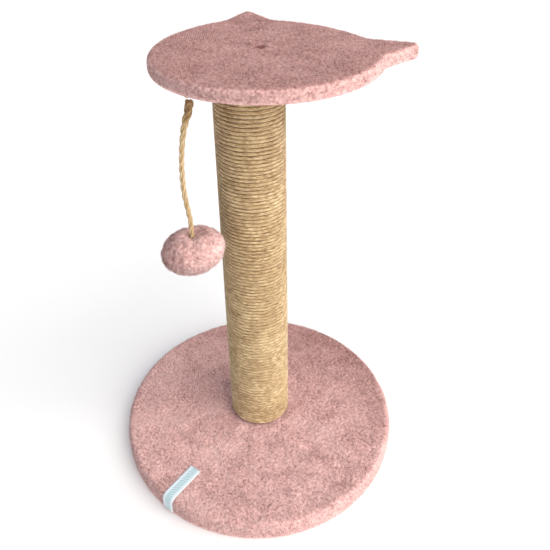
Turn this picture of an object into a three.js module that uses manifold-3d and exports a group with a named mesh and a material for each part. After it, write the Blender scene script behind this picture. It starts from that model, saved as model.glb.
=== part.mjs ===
// Cat scratching post: a round plush-covered base, a sisal-wrapped card post, a cat-head
// platform with two ears, and a stuffed plush ball that hangs on a twisted sisal cord.
// Millimetres, +Z up. The origin is the centre of the base's underside, and +Y points from
// the cat head's chin to the middle of its forehead.

import * as THREE from 'three';
import { mergeVertices } from 'three/addons/utils/BufferGeometryUtils.js';
import Module from 'manifold-3d';

const wasm = await Module();
wasm.setup();

// ---------------------------------------------------------------------------------------
// Driving sizes
// ---------------------------------------------------------------------------------------

const seatGap = 0.3;             // left between two pieces that touch
const overlap = 1;               // a cutting tool runs this far past the face that it cuts

// plush cloth
const plushThickness = 4;        // backing and pile, on the faces that show
const hemThickness = 3;          // the same cloth turned under and pressed flat
const plushTopRounding = 6;      // how softly the cloth turns over a board's upper edge
const plushLowRounding = 2.5;    // and round its lower edge

// base
const baseBoardRadius = 180;
const baseBoardThickness = 18;
const baseHemWidth = 36;
const baseStapleCount = 12;
const baseSides = 64;

// post, which stands a little behind the middle of the base
const postX = 0;
const postY = 4;
const postLength = 510;
const tubeBore = 62;
const tubeWall = 3.7;
const plugThickness = 20;
const plugNailCount = 3;
const plugNailRadius = 1.1;
const plugNailHeadRadius = 2.4;
const plugNailHeadHeight = 1;
const plugNailLength = 18;

// sisal rope round the post
const ropeDiameter = 4.7;
const ropeTurnGap = 0.04;        // between neighbouring turns of the round rope
const ropeTurns = 24;            // turns modelled one by one, from the top down
const ropeSteps = 24;            // steps in a turn
const ropeSides = 6;

// cat-head platform: its round is centred ahead of the post, on the screw's side
const headX = 14.5;              // from the post's axis
const headY = 13.5;
const headRadius = 120;          // chin and cheeks
const headBoardThickness = 8;
const foreheadHeight = 100.5;      // from the round's centre to the middle of the forehead
const earTipRadius = 160;        // from the round's centre to the sharp corner of an ear
const earTipAngle = 48.6;        // from the forehead's middle
const earInnerRadius = 110;      // where an ear meets the forehead
const earInnerAngle = 38;
const earOuterAngle = 64.5;        // where an ear meets the cheek
const earTipRounding = 12;
const earRootRounding = 10;
const cheekSteps = 17;           // straight steps from an ear round to the middle of the chin
const headHemWidth = 15;         // how far the cloth turns in under the forehead's edge
const headStapleCount = 12;
const headStapleInset = 7.5;     // from the forehead's edge

// staples that hold the turned-under cloth
const stapleWidth = 10;
const stapleLeg = 8;
const stapleWire = 1;

// fasteners
const boltDiameter = 8;
const boltLength = 40;
const boltHeadAcrossFlats = 13;
const boltHeadHeight = 5.3;
const boltWasherDiameter = 24;
const boltWasherThickness = 2;
const boltWasherRoom = 2;        // between the washer and the wall of its recess
const teeNutFlangeDiameter = 24;
const teeNutFlangeThickness = 1.5;
const teeNutBarrelDiameter = 11;
const teeNutBarrelLength = 11;
const screwX = 10;             // head screw, from the post's axis
const screwY = 10.5;
const screwDiameter = 5;
const screwLength = 27;
const screwHeadDiameter = 9.5;
const screwHeadHeight = 1.8;
const screwWasherDiameter = 12;
const screwWasherThickness = 0.8;

// ribbon tab over the base's front edge
const ribbonX = 10.7;
const ribbonWidth = 16;
const ribbonThickness = 0.8;
const ribbonReach = 52;          // over the top, in from the edge
const ribbonDrop = 20;           // down the side

// toy
const toyAside = 17.9;           // from the head's middle line, on the -X side
const toyInset = 22.2;           // in from the chin's edge
const toyStapleWidth = 14;
const toyStapleWire = 1.2;
const toyStapleDrop = 6;         // its crown stands this far under the cloth
const toyStapleGrip = 5;         // its legs reach this far into the board
const eyeRadius = 4.5;           // the cord's eye, to the middle of its strand
const eyeStrandRadius = 1.5;
const cordDiameter = 6;
const cordSides = 8;
const cordSteps = 32;
const knotRadius = 5;
const endKnotRadius = 5.5;

// ball, two swollen halves gathered at the cord
const ballAside = 6.7;           // the cord's spring holds it off the plumb line, to -X
const ballAhead = 6.1;           // and to -Y
const ballCentreHeight = 338;
const ballHalfWidth = 34;
const ballHalfHeight = 28.5;
const ballDimple = 8;            // how deep the gather draws the top in
const ballDimpleWidth = 10.5;
const ballHalfSwell = 0.075;     // how much wider across the halves than along the crease
const ballHalfAngle = 49;      // direction of one half, degrees from +X
const ballLean = 0.11;           // that half rides higher than the other
const ballCrease = 0.16;         // how far the crease sinks into the top
const ballClothThickness = 2.5;
const ballNeckGap = 0.5;
const ballFillingGap = 0.7;      // the filling is packed loosely inside the cloth

// ---------------------------------------------------------------------------------------
// Levels and places that follow from the sizes
// ---------------------------------------------------------------------------------------

const radians = THREE.MathUtils.degToRad;

const baseBoardBottom = hemThickness + seatGap;
const baseBoardTop = baseBoardBottom + baseBoardThickness;
const baseCoverRadius = baseBoardRadius + seatGap + plushThickness;
const baseTop = baseBoardTop + seatGap + plushThickness;

const postBottom = baseTop + seatGap;
const postTop = postBottom + postLength;
const tubeRadius = tubeBore / 2 + tubeWall;
const plugRadius = tubeBore / 2 - seatGap;

const headBoardBottom = postTop + seatGap;
const headBoardTop = headBoardBottom + headBoardThickness;
const headHemBottom = headBoardBottom - seatGap - hemThickness;
const headTop = headBoardTop + seatGap + plushThickness;
const headCentreX = postX + headX;
const headCentreY = postY + headY;

// the rope's inner corners clear the tube at the middle of each straight step
const ropeRadius = ropeDiameter / 2;
const ropeSeat = (tubeRadius + seatGap) / Math.cos(Math.PI / ropeSteps);
const ropeCentreRadius = ropeSeat + ropeRadius;
const ropePitch = ropeDiameter + ropeTurnGap;
const ropeTop = postTop - ropeRadius - seatGap;
const ropeBottom = ropeTop - ropeTurns * ropePitch;
const wrapTop = ropeBottom - ropeRadius - seatGap;

const boltHeadTop = baseBoardBottom + seatGap + boltHeadHeight;
const boltWasherBottom = boltHeadTop + seatGap;
const boltRecessTop = boltWasherBottom + boltWasherThickness + seatGap;

const screwCentreX = postX + screwX;
const screwCentreY = postY + screwY;
const screwWasherBottom = headBoardTop + seatGap;
const screwHeadBottom = screwWasherBottom + screwWasherThickness + seatGap;

const toyX = headCentreX - toyAside;
const toyY = headCentreY - headRadius + toyInset;
const ballX = toyX - ballAside;
const ballY = toyY - ballAhead;
const crownHeight = headHemBottom - toyStapleDrop;
const eyeHangs = eyeRadius - eyeStrandRadius - toyStapleWire * Math.SQRT1_2 - seatGap / 2;
const eyeHeight = crownHeight - eyeHangs;
const eyeBottom = eyeHeight - eyeRadius - eyeStrandRadius;
const knotHeight = eyeBottom - seatGap - knotRadius;
const cordTop = knotHeight - knotRadius - seatGap;
const endKnotHeight = ballCentreHeight;
const cordEnd = endKnotHeight + endKnotRadius + seatGap;

// ---------------------------------------------------------------------------------------
// Solids
// ---------------------------------------------------------------------------------------

// One closed mesh: shared corners merged, flat slivers dropped, faces pointing out.
function closed(geometry) {
  const bare = new THREE.BufferGeometry();
  bare.setAttribute('position', geometry.getAttribute('position'));
  if (geometry.index) bare.setIndex(geometry.index);
  const merged = mergeVertices(bare, 1e-4);
  const position = merged.getAttribute('position');
  const from = merged.index.array;
  const kept = [];
  for (let i = 0; i < from.length; i += 3) {
    const [a, b, c] = [from[i], from[i + 1], from[i + 2]];
    if (a !== b && b !== c && a !== c) kept.push(a, b, c);
  }
  const corner = (n) => new THREE.Vector3().fromBufferAttribute(position, n);
  let volume = 0;
  for (let i = 0; i < kept.length; i += 3) {
    const [a, b, c] = [kept[i], kept[i + 1], kept[i + 2]];
    volume += corner(a).dot(corner(b).cross(corner(c)));
  }
  if (volume < 0) kept.reverse();
  merged.setIndex(kept);
  return merged;
}

function toManifold(geometry) {
  const merged = closed(geometry);
  const vertProperties = new Float32Array(merged.getAttribute('position').array);
  const triVerts = new Uint32Array(merged.index.array);
  return new wasm.Manifold(new wasm.Mesh({ numProp: 3, vertProperties, triVerts }));
}

function toGeometry(manifold) {
  const mesh = manifold.getMesh();
  const geometry = new THREE.BufferGeometry();
  geometry.setAttribute('position', new THREE.BufferAttribute(mesh.vertProperties, 3));
  geometry.setIndex(new THREE.BufferAttribute(mesh.triVerts, 1));
  return geometry;
}

function cut(body, tools) {
  let solid = toManifold(body);
  for (const tool of tools) solid = solid.subtract(toManifold(tool));
  return toGeometry(solid);
}

function joined(bodies) {
  let solid = toManifold(bodies[0]);
  for (const body of bodies.slice(1)) solid = solid.add(toManifold(body));
  return toGeometry(solid);
}

// An upright cylinder from one height to another.
function rod(radius, bottom, top, sides = 24) {
  const geometry = new THREE.CylinderGeometry(radius, radius, top - bottom, sides);
  geometry.rotateX(Math.PI / 2);
  geometry.translate(0, 0, (top + bottom) / 2);
  return geometry;
}

// A ring or sleeve with an upright bore.
function sleeve(inner, outer, bottom, top, sides) {
  const profile = [[inner, bottom], [outer, bottom], [outer, top], [inner, top], [inner, bottom]];
  return turned(profile, sides);
}

// A profile of [radius, height] pairs turned about the Z axis.
function turned(profile, sides) {
  const points = profile.map(([radius, height]) => new THREE.Vector2(radius, height));
  const geometry = new THREE.LatheGeometry(points, sides);
  geometry.rotateX(Math.PI / 2);
  return geometry;
}

// Rings of points joined one to the next, and closed flat at both ends.
function lofted(rings, cap) {
  const count = rings[0].length;
  const positions = rings.flatMap((ring) => ring.flatMap((p) => [p.x, p.y, p.z]));
  const index = [];
  for (let r = 0; r + 1 < rings.length; r += 1) {
    for (let i = 0; i < count; i += 1) {
      const next = (i + 1) % count;
      const low = r * count;
      const high = low + count;
      index.push(low + i, low + next, high + next, low + i, high + next, high + i);
    }
  }
  const last = (rings.length - 1) * count;
  for (const [a, b, c] of cap) {
    index.push(a, c, b, last + a, last + b, last + c);
  }
  const geometry = new THREE.BufferGeometry();
  geometry.setAttribute('position', new THREE.Float32BufferAttribute(positions, 3));
  geometry.setIndex(index);
  return geometry;
}

const object = new THREE.Group();

function piece(name, geometry, colour, roughness, metalness = 0) {
  const material = new THREE.MeshStandardMaterial({ color: colour, roughness, metalness });
  const mesh = new THREE.Mesh(closed(geometry), material);
  mesh.name = name;
  object.add(mesh);
  return mesh;
}

const plushPink = 0xd9a29c;
const boardBrown = 0xb08d62;
const cardBrown = 0xa9845a;
const pine = 0xd8b988;
const sisal = 0xc8a877;
const zinc = 0xb9bcc0;
const ribbonWhite = 0xe8eef0;
const fillingWhite = 0xf2f0ea;

// ---------------------------------------------------------------------------------------
// Staples in the turned-under cloth
// ---------------------------------------------------------------------------------------

// A staple with its crown below and its legs pointing up. Grown by a clearance it is the
// slot that the staple sits in, and the slot is open towards the crown's side.
function staple(width, leg, wire, grown = 0, open = 0) {
  const outside = width / 2 + grown;
  const inside = width / 2 - wire - grown;
  const low = -grown - open;
  const high = wire + grown;
  const tip = leg + grown;
  const corners = [
    [-outside, low], [outside, low], [outside, tip], [inside, tip],
    [inside, high], [-inside, high], [-inside, tip], [-outside, tip],
  ];
  const outline = new THREE.Shape(corners.map(([x, z]) => new THREE.Vector2(x, z)));
  const depth = wire + 2 * grown;
  const geometry = new THREE.ExtrudeGeometry(outline, { depth, bevelEnabled: false });
  geometry.translate(0, 0, -depth / 2);
  geometry.rotateX(Math.PI / 2);
  return geometry;
}

// The staples of one hem, each along the rim, with the slots they need.
function stapleRing(count, centreX, centreY, ring, hemBottom) {
  const places = [];
  for (let i = 0; i < count; i += 1) {
    const angle = (2 * Math.PI * i) / count;
    const place = (geometry) => {
      geometry.rotateZ(angle + Math.PI / 2);
      geometry.translate(centreX + ring * Math.cos(angle), centreY + ring * Math.sin(angle), 0);
      geometry.translate(0, 0, hemBottom + seatGap);
      return geometry;
    };
    places.push({
      staple: place(staple(stapleWidth, stapleLeg, stapleWire)),
      slot: place(staple(stapleWidth, stapleLeg, stapleWire, seatGap, 2 * seatGap)),
    });
  }
  return places;
}

// ---------------------------------------------------------------------------------------
// Base
// ---------------------------------------------------------------------------------------

const baseStaples = stapleRing(
  baseStapleCount, 0, 0, baseCoverRadius - baseHemWidth / 2 - plushThickness, 0,
);
const baseSlots = baseStaples.map((place) => place.slot);

// An upright hole on the post's axis.
function postHole(radius, bottom, top) {
  const hole = rod(radius, bottom, top);
  hole.translate(postX, postY, 0);
  return hole;
}

function baseBoard() {
  const board = rod(baseBoardRadius, baseBoardBottom, baseBoardTop, baseSides);
  return cut(board, [
    ...baseSlots,
    postHole(boltDiameter / 2 + seatGap, 0, baseTop),
    postHole(boltWasherDiameter / 2 + boltWasherRoom, 0, boltRecessTop),
  ]);
}

// A quarter round of cloth over an edge, from one [radius, height] point to the next.
function edgeRound(centreRadius, centreHeight, rounding, from, to, steps) {
  const points = [];
  for (let i = 0; i <= steps; i += 1) {
    const angle = radians(from + ((to - from) * i) / steps);
    points.push([
      centreRadius + rounding * Math.cos(angle),
      centreHeight + rounding * Math.sin(angle),
    ]);
  }
  return points;
}

function baseCover() {
  const hollow = baseBoardRadius + seatGap;
  const hemEdge = baseCoverRadius - baseHemWidth - plushThickness;
  const low = plushLowRounding;
  const top = plushTopRounding;
  const profile = [
    [0, baseBoardTop + seatGap],
    [hollow, baseBoardTop + seatGap],
    [hollow, hemThickness],
    [hemEdge, hemThickness],
    [hemEdge, 0],
    ...edgeRound(baseCoverRadius - low, low, low, -90, 0, 2),
    ...edgeRound(baseCoverRadius - top, baseTop - top, top, 0, 90, 3),
    [0, baseTop],
  ];
  const boltHole = postHole(boltDiameter / 2 + seatGap, 0, baseTop + overlap);
  return cut(turned(profile, baseSides), [...baseSlots, boltHole]);
}

piece('base_board', baseBoard(), boardBrown, 0.9);
piece('base_cover', baseCover(), plushPink, 1);
baseStaples.forEach((place, i) => {
  piece(`base_staple_${i + 1}`, place.staple, zinc, 0.35, 1);
});

// Ribbon: a strip that follows the cover's top, its rounded edge and its side.
function ribbon() {
  const path = (lift) => {
    const edge = baseCoverRadius - plushTopRounding;
    const bend = plushTopRounding + lift;
    const arc = edgeRound(edge, baseTop - plushTopRounding, bend, 0, 90, 3);
    const side = baseCoverRadius + lift;
    return [[side, baseTop - ribbonDrop], ...arc, [baseCoverRadius - ribbonReach, baseTop + lift]];
  };
  const outline = [...path(seatGap + ribbonThickness), ...path(seatGap).reverse()];
  const shape = new THREE.Shape(outline.map(([r, z]) => new THREE.Vector2(r, z)));
  const strip = new THREE.ExtrudeGeometry(shape, { depth: ribbonWidth, bevelEnabled: false });
  strip.translate(0, 0, -ribbonWidth / 2);
  strip.rotateX(Math.PI / 2);
  strip.rotateZ(Math.atan2(-baseCoverRadius, ribbonX));
  return strip;
}

piece('base_ribbon', ribbon(), ribbonWhite, 0.5);

// Bolt, washer and tee nut that pull the post down on the base.
function hexBolt() {
  const across = boltHeadAcrossFlats / 2 / Math.cos(Math.PI / 6);
  const head = rod(across, boltHeadTop - boltHeadHeight, boltHeadTop, 6);
  const shank = rod(boltDiameter / 2, boltHeadTop - overlap, boltHeadTop + boltLength, 20);
  return joined([head, shank]);
}

function teeNut() {
  const top = postBottom + plugThickness + seatGap;
  const bore = boltDiameter / 2 + seatGap;
  const barrel = teeNutBarrelDiameter / 2;
  const flange = teeNutFlangeDiameter / 2;
  return turned([
    [bore, top - teeNutBarrelLength],
    [barrel, top - teeNutBarrelLength],
    [barrel, top],
    [flange, top],
    [flange, top + teeNutFlangeThickness],
    [bore, top + teeNutFlangeThickness],
    [bore, top - teeNutBarrelLength],
  ], 20);
}

function onPostAxis(mesh) {
  mesh.position.set(postX, postY, 0);
}

const washerBore = boltDiameter / 2 + seatGap;
const washerTop = boltWasherBottom + boltWasherThickness;
const baseWasher = sleeve(washerBore, boltWasherDiameter / 2, boltWasherBottom, washerTop, 24);
onPostAxis(piece('base_bolt', hexBolt(), zinc, 0.35, 1));
onPostAxis(piece('base_washer', baseWasher, zinc, 0.35, 1));
onPostAxis(piece('base_tee_nut', teeNut(), zinc, 0.4, 1));

// ---------------------------------------------------------------------------------------
// Post
// ---------------------------------------------------------------------------------------

// A nail driven into the post along +X, with its head flush with the tube, or the space
// that it needs there.
function plugNail(height, angle, grown = 0) {
  const headFace = tubeRadius - seatGap + (grown > 0 ? overlap : 0);
  const headBack = tubeRadius - seatGap - plugNailHeadHeight - grown;
  const tip = tubeRadius - seatGap - plugNailLength - grown;
  const head = rod(plugNailHeadRadius + grown, headBack, headFace, 8);
  const shank = rod(plugNailRadius + grown, tip, headBack + plugNailHeadHeight / 2, 8);
  const nail = joined([head, shank]);
  nail.rotateY(Math.PI / 2);
  nail.rotateZ(angle);
  nail.translate(0, 0, height);
  return nail;
}

const nailHeights = [postBottom + plugThickness / 2, postTop - plugThickness / 2];
const nailAngles = [...Array(plugNailCount).keys()].map((i) => (2 * Math.PI * i) / plugNailCount);
const nailHoles = nailHeights.map((z) => nailAngles.map((a) => plugNail(z, a, seatGap)));

function bottomPlug() {
  const bolt = rod(boltDiameter / 2 + seatGap, 0, postTop, 20);
  const top = postBottom + plugThickness;
  const barrelSeat = top - teeNutBarrelLength - seatGap;
  const barrel = rod(teeNutBarrelDiameter / 2 + seatGap, barrelSeat, postTop, 20);
  return cut(rod(plugRadius, postBottom, top, 36), [bolt, barrel, ...nailHoles[0]]);
}

function topPlug() {
  const pilot = rod(screwDiameter / 2 + seatGap, postBottom, headTop, 16);
  pilot.translate(screwX, screwY, 0);
  return cut(rod(plugRadius, postTop - plugThickness, postTop, 36), [pilot, ...nailHoles[1]]);
}

const tube = cut(sleeve(tubeBore / 2, tubeRadius, postBottom, postTop, 48), nailHoles.flat());
onPostAxis(piece('post_tube', tube, cardBrown, 0.9));
onPostAxis(piece('post_bottom_plug', bottomPlug(), pine, 0.8));
onPostAxis(piece('post_top_plug', topPlug(), pine, 0.8));
['bottom', 'top'].forEach((end, e) => {
  nailAngles.forEach((angle, i) => {
    onPostAxis(piece(`${end}_plug_nail_${i + 1}`, plugNail(nailHeights[e], angle), zinc, 0.4, 1));
  });
});

// ---------------------------------------------------------------------------------------
// Sisal rope: close turns wound up the tube
// ---------------------------------------------------------------------------------------

// The middle of the rope: a helix, with a straight run one diameter long at each end.
function ropePath() {
  const steps = ropeTurns * ropeSteps;
  const points = [];
  for (let i = 0; i <= steps; i += 1) {
    const angle = (2 * Math.PI * i) / ropeSteps;
    points.push(new THREE.Vector3(
      ropeCentreRadius * Math.cos(angle),
      ropeCentreRadius * Math.sin(angle),
      ropeTop - (ropePitch * i) / ropeSteps,
    ));
  }
  const straightOn = (end, before) => {
    const heading = end.clone().sub(before);
    const outward = new THREE.Vector3(end.x, end.y, 0).normalize();
    heading.addScaledVector(outward, -heading.dot(outward)).setLength(ropeDiameter);
    heading.z = 0;
    return end.clone().add(heading);
  };
  points.unshift(straightOn(points[0], points[1]));
  points.push(straightOn(points[points.length - 1], points[points.length - 2]));
  return points;
}

// A six-sided section at each point, with a corner pointing at the post's axis.
function ropeRings(path) {
  const up = new THREE.Vector3(0, 0, 1);
  return path.map((point, i) => {
    const near = THREE.MathUtils.clamp(i, 1, path.length - 2);
    const outward = new THREE.Vector3(path[near].x, path[near].y, 0).normalize();
    return [...Array(ropeSides).keys()].map((s) => {
      const angle = (2 * Math.PI * s) / ropeSides;
      return point.clone()
        .addScaledVector(outward, ropeRadius * Math.cos(angle))
        .addScaledVector(up, ropeRadius * Math.sin(angle));
    });
  });
}

const endFan = (sides) => [...Array(sides - 2).keys()].map((i) => [0, i + 1, i + 2]);

// The least distance between corners of neighbouring turns.
function leastGap(rings) {
  let least = Infinity;
  for (let i = 0; i + ropeSteps < rings.length; i += 1) {
    for (let j = i + ropeSteps - 1; j <= Math.min(i + ropeSteps + 1, rings.length - 1); j += 1) {
      for (const a of rings[i]) {
        for (const b of rings[j]) least = Math.min(least, a.distanceTo(b));
      }
    }
  }
  return least;
}

const turns = ropeRings(ropePath());
console.log(`sisal rope: ${ropeTurns} turns, least gap ${leastGap(turns).toFixed(2)} mm`);
onPostAxis(piece('sisal_rope', lofted(turns, endFan(ropeSides)), sisal, 0.95));

// The rest of the winding, down to the foot, as one sleeve of the same thickness.
const wrapInner = tubeRadius + seatGap;
const wrapOuter = ropeCentreRadius + ropeRadius;
const lowerWrap = sleeve(wrapInner, wrapOuter, postBottom, wrapTop, 48);
onPostAxis(piece('sisal_wrap_lower', lowerWrap, sisal, 0.95));

// ---------------------------------------------------------------------------------------
// Cat-head platform
// ---------------------------------------------------------------------------------------

// A point so far from the round's centre, at an angle from the forehead's middle.
function headPoint(radius, angle) {
  return new THREE.Vector2(radius * Math.sin(radians(angle)), radius * Math.cos(radians(angle)));
}

// A corner rounded off between the points that lie `reach` along its two sides.
function rounded(before, corner, after, reach) {
  const start = before.clone().sub(corner).setLength(reach).add(corner);
  const end = after.clone().sub(corner).setLength(reach).add(corner);
  return new THREE.QuadraticBezierCurve(start, corner, end).getPoints(4);
}

// The board's outline: forehead, ear, cheek and chin of one half, then the mirrored half.
function headOutline() {
  const tip = headPoint(earTipRadius, earTipAngle);
  const inner = headPoint(earInnerRadius, earInnerAngle);
  const outer = headPoint(headRadius, earOuterAngle);
  const sag = foreheadHeight - inner.y;
  const foreheadRadius = (inner.x ** 2 + sag ** 2) / (2 * sag);
  const innerTurn = Math.asin(inner.x / foreheadRadius);
  const forehead = (turn) => new THREE.Vector2(
    foreheadRadius * Math.sin(turn),
    foreheadHeight - foreheadRadius * (1 - Math.cos(turn)),
  );
  const rootTurn = earRootRounding / foreheadRadius;
  const half = [0, 1, 2, 3].map((i) => forehead(((innerTurn - rootTurn) * i) / 4));
  half.push(...rounded(forehead(innerTurn - rootTurn), inner, tip, earRootRounding));
  half.push(...rounded(inner, tip, outer, earTipRounding));
  const rootAngle = THREE.MathUtils.radToDeg(earRootRounding / headRadius);
  const cheek = headPoint(headRadius, earOuterAngle + rootAngle);
  half.push(...rounded(tip, outer, cheek, earRootRounding));
  const cheekStep = (180 - earOuterAngle - rootAngle) / (cheekSteps + 1);
  for (let i = cheekSteps; i >= 0; i -= 1) {
    half.push(headPoint(headRadius, 180 - cheekStep * i));
  }
  const mirrored = half.slice(1, -1).reverse().map((p) => new THREE.Vector2(-p.x, p.y));
  return [...half, ...mirrored].reverse();
}

// Each point of an outline moved outwards, square to the outline there.
function offset(outline, distance) {
  const count = outline.length;
  return outline.map((point, i) => {
    const before = point.clone().sub(outline[(i + count - 1) % count]).normalize();
    const after = outline[(i + 1) % count].clone().sub(point).normalize();
    const along = before.clone().add(after).normalize();
    const outward = new THREE.Vector2(along.y, -along.x);
    const stretch = Math.max(0.5, along.dot(after));
    return point.clone().addScaledVector(outward, distance / stretch);
  });
}

// A stack of the head's outline, each level at [height, offset].
function headStack(levels) {
  const outline = headOutline();
  const rings = levels.map(([z, grown]) => (
    offset(outline, grown).map((p) => new THREE.Vector3(p.x, p.y, z))
  ));
  const geometry = lofted(rings, THREE.ShapeUtils.triangulateShape(outline, []));
  geometry.translate(headCentreX, headCentreY, 0);
  return geometry;
}

const headStaples = stapleRing(
  headStapleCount, headCentreX, headCentreY, foreheadHeight - headStapleInset, headHemBottom,
);
const headSlots = headStaples.map((place) => place.slot);

// The toy's staple, and the slots for its legs.
function toyStaple(grown = 0) {
  const leg = headBoardBottom + toyStapleGrip - crownHeight + toyStapleWire / 2;
  const wire = staple(toyStapleWidth, leg, toyStapleWire, grown);
  wire.translate(toyX, toyY, crownHeight - toyStapleWire / 2);
  return wire;
}

function atHeadScrew(geometry) {
  geometry.translate(screwCentreX, screwCentreY, 0);
  return geometry;
}

function headBoard() {
  const screwHole = atHeadScrew(rod(screwDiameter / 2 + seatGap, postTop, headTop, 16));
  const board = headStack([[headBoardBottom, 0], [headBoardTop, 0]]);
  return cut(board, [...headSlots, toyStaple(seatGap), screwHole]);
}

function headCover() {
  const skin = seatGap + plushThickness;
  const low = plushLowRounding;
  const top = plushTopRounding;
  const outside = headStack([
    ...edgeRound(skin - low, headHemBottom + low, low, -90, 0, 2),
    ...edgeRound(skin - top, headTop - top, top, 0, 90, 3),
  ].map(([grown, z]) => [z, grown]));
  const hollow = headStack([
    [headBoardBottom - seatGap, seatGap], [headBoardTop + seatGap, seatGap],
  ]);
  const bare = rod(foreheadHeight - headHemWidth, headHemBottom - overlap, headBoardBottom, 60);
  bare.translate(headCentreX, headCentreY, 0);
  const washerHole = screwWasherDiameter / 2 + seatGap;
  const screwHole = atHeadScrew(rod(washerHole, headBoardTop, headTop + overlap, 20));
  return cut(outside, [hollow, bare, ...headSlots, toyStaple(seatGap), screwHole]);
}

piece('head_board', headBoard(), boardBrown, 0.9);
piece('head_cover', headCover(), plushPink, 1);
headStaples.forEach((place, i) => {
  piece(`head_staple_${i + 1}`, place.staple, zinc, 0.35, 1);
});

function headScrew() {
  const top = screwHeadBottom + screwHeadHeight;
  const head = screwHeadDiameter / 2;
  const shank = screwDiameter / 2;
  const point = screwHeadBottom - screwLength;
  return turned([
    [0, point],
    [shank, point + screwDiameter],
    [shank, screwHeadBottom],
    [head, screwHeadBottom],
    [head, top - screwHeadHeight / 2],
    [head / 2, top],
    [0, top],
  ], 20);
}

const screwWasher = sleeve(
  screwDiameter / 2 + seatGap, screwWasherDiameter / 2,
  screwWasherBottom, screwWasherBottom + screwWasherThickness, 20,
);
piece('head_screw', atHeadScrew(headScrew()), zinc, 0.35, 1);
piece('head_washer', atHeadScrew(screwWasher), zinc, 0.35, 1);

// ---------------------------------------------------------------------------------------
// Toy: staple, cord and ball
// ---------------------------------------------------------------------------------------

piece('toy_staple', toyStaple(), zinc, 0.35, 1);

// The cord's eye hangs on the staple's crown and swings across it.
const eye = new THREE.TorusGeometry(eyeRadius, eyeStrandRadius, 6, 20);
eye.rotateY(Math.PI / 2);
eye.translate(toyX, toyY, eyeHeight);
piece('toy_cord_eye', eye, sisal, 0.95);

function knot(radius) {
  const geometry = new THREE.SphereGeometry(radius, 12, 8);
  geometry.rotateX(Math.PI / 2);
  return geometry;
}

const topKnot = knot(knotRadius);
topKnot.translate(toyX, toyY, knotHeight);
piece('toy_cord_knot', topKnot, sisal, 0.95);

// The free cord: springy twisted sisal that bows to one side on its way to the ball.
const cordBow = [                 // from the plumb line to -X and to -Y, and its height
  [0, 0, cordTop],
  [1.3, 1.2, 503],
  [3.6, 3.3, 494],
  [5.9, 5.4, 482],
  [7.8, 7.2, 467],
  [9.1, 8.4, 451],
  [9.8, 9.0, 435],
  [9.8, 9.0, 419],
  [8.9, 8.2, 402],
  [7.4, 6.7, 385],
  [6.6, 6.0, 372],
  [ballAside, ballAhead, 362],
  [ballAside, ballAhead, cordEnd],
];

function cord() {
  const route = new THREE.CatmullRomCurve3(
    cordBow.map(([aside, ahead, z]) => new THREE.Vector3(toyX - aside, toyY - ahead, z)),
    false,
    'centripetal',
  );
  const section = new THREE.Shape();
  section.absarc(0, 0, cordDiameter / 2, 0, 2 * Math.PI);
  const round = new THREE.Shape(section.getSpacedPoints(cordSides).slice(0, cordSides));
  return new THREE.ExtrudeGeometry(round, { steps: cordSteps, extrudePath: route });
}

piece('toy_cord', cord(), sisal, 0.95);

// The ball's outline from the bottom pole to the neck, as [radius, height].
function ballProfile(inset, neck, steps) {
  const width = ballHalfWidth - inset;
  const height = ballHalfHeight - inset;
  const points = [];
  for (let i = 0; i <= steps; i += 1) {
    const turn = (Math.PI * i) / steps;
    const radius = Math.max(width * Math.sin(turn), turn > Math.PI / 2 ? neck : 0);
    const drawn = ballDimple * Math.exp(-((radius / ballDimpleWidth) ** 2));
    const lowered = turn > Math.PI / 2 ? drawn : 0;
    points.push([i === 0 ? 0 : radius, -height * Math.cos(turn) - lowered]);
    if (turn > Math.PI / 2 && radius <= neck) break;
  }
  return points;
}

// Gives a turned ball its two halves: wider across them, creased between them, and with
// one half a little higher. The middle, where the cord goes in, stays round.
function swollen(geometry) {
  const position = geometry.getAttribute('position');
  for (let i = 0; i < position.count; i += 1) {
    const [x, y, z] = [position.getX(i), position.getY(i), position.getZ(i)];
    const radius = Math.hypot(x, y);
    const share = Math.min(1, radius / ballHalfWidth);
    const away = Math.atan2(y, x) - radians(ballHalfAngle);
    const swell = 1 + ballHalfSwell * share * Math.cos(2 * away);
    const lean = ballLean * radius * share * Math.cos(away);
    const upper = Math.max(0, z / ballHalfHeight);
    const sunk = ballCrease * upper * radius * (1 - share) * Math.sin(away) ** 2;
    position.setXYZ(i, x * swell, y * swell, z + lean - sunk);
  }
  geometry.translate(ballX, ballY, ballCentreHeight);
  return geometry;
}

const ballSteps = 13;
const ballSides = 22;

function ballCover() {
  const neck = cordDiameter / 2 + ballNeckGap;
  const outside = ballProfile(0, neck, ballSteps);
  const inside = ballProfile(ballClothThickness, neck, ballSteps).reverse();
  return swollen(turned([...outside, ...inside], ballSides));
}

// The filling has an open pocket at its top for the cord and its end knot.
function ballFilling() {
  const inset = ballClothThickness + ballFillingGap;
  const pocket = endKnotRadius + seatGap;
  const outside = ballProfile(inset, pocket, ballSteps);
  const floor = -endKnotRadius - seatGap;
  return swollen(turned([...outside, [pocket, floor], [0, floor]], ballSides));
}

piece('toy_ball_cover', ballCover(), plushPink, 1);
piece('toy_ball_filling', ballFilling(), fillingWhite, 1);

const endKnot = knot(endKnotRadius);
endKnot.translate(ballX, ballY, endKnotHeight);
piece('toy_end_knot', endKnot, sisal, 0.95);

export default object;
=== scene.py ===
# Cat scratching post: a round plush base, a post wound with sisal rope, a plush platform in the
# outline of a cat's head, and a stuffed plush ball on a twisted sisal cord.
import math

import bmesh
import bpy
import numpy as np
from mathutils import Matrix, Vector, noise
from mathutils.bvhtree import BVHTree


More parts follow.
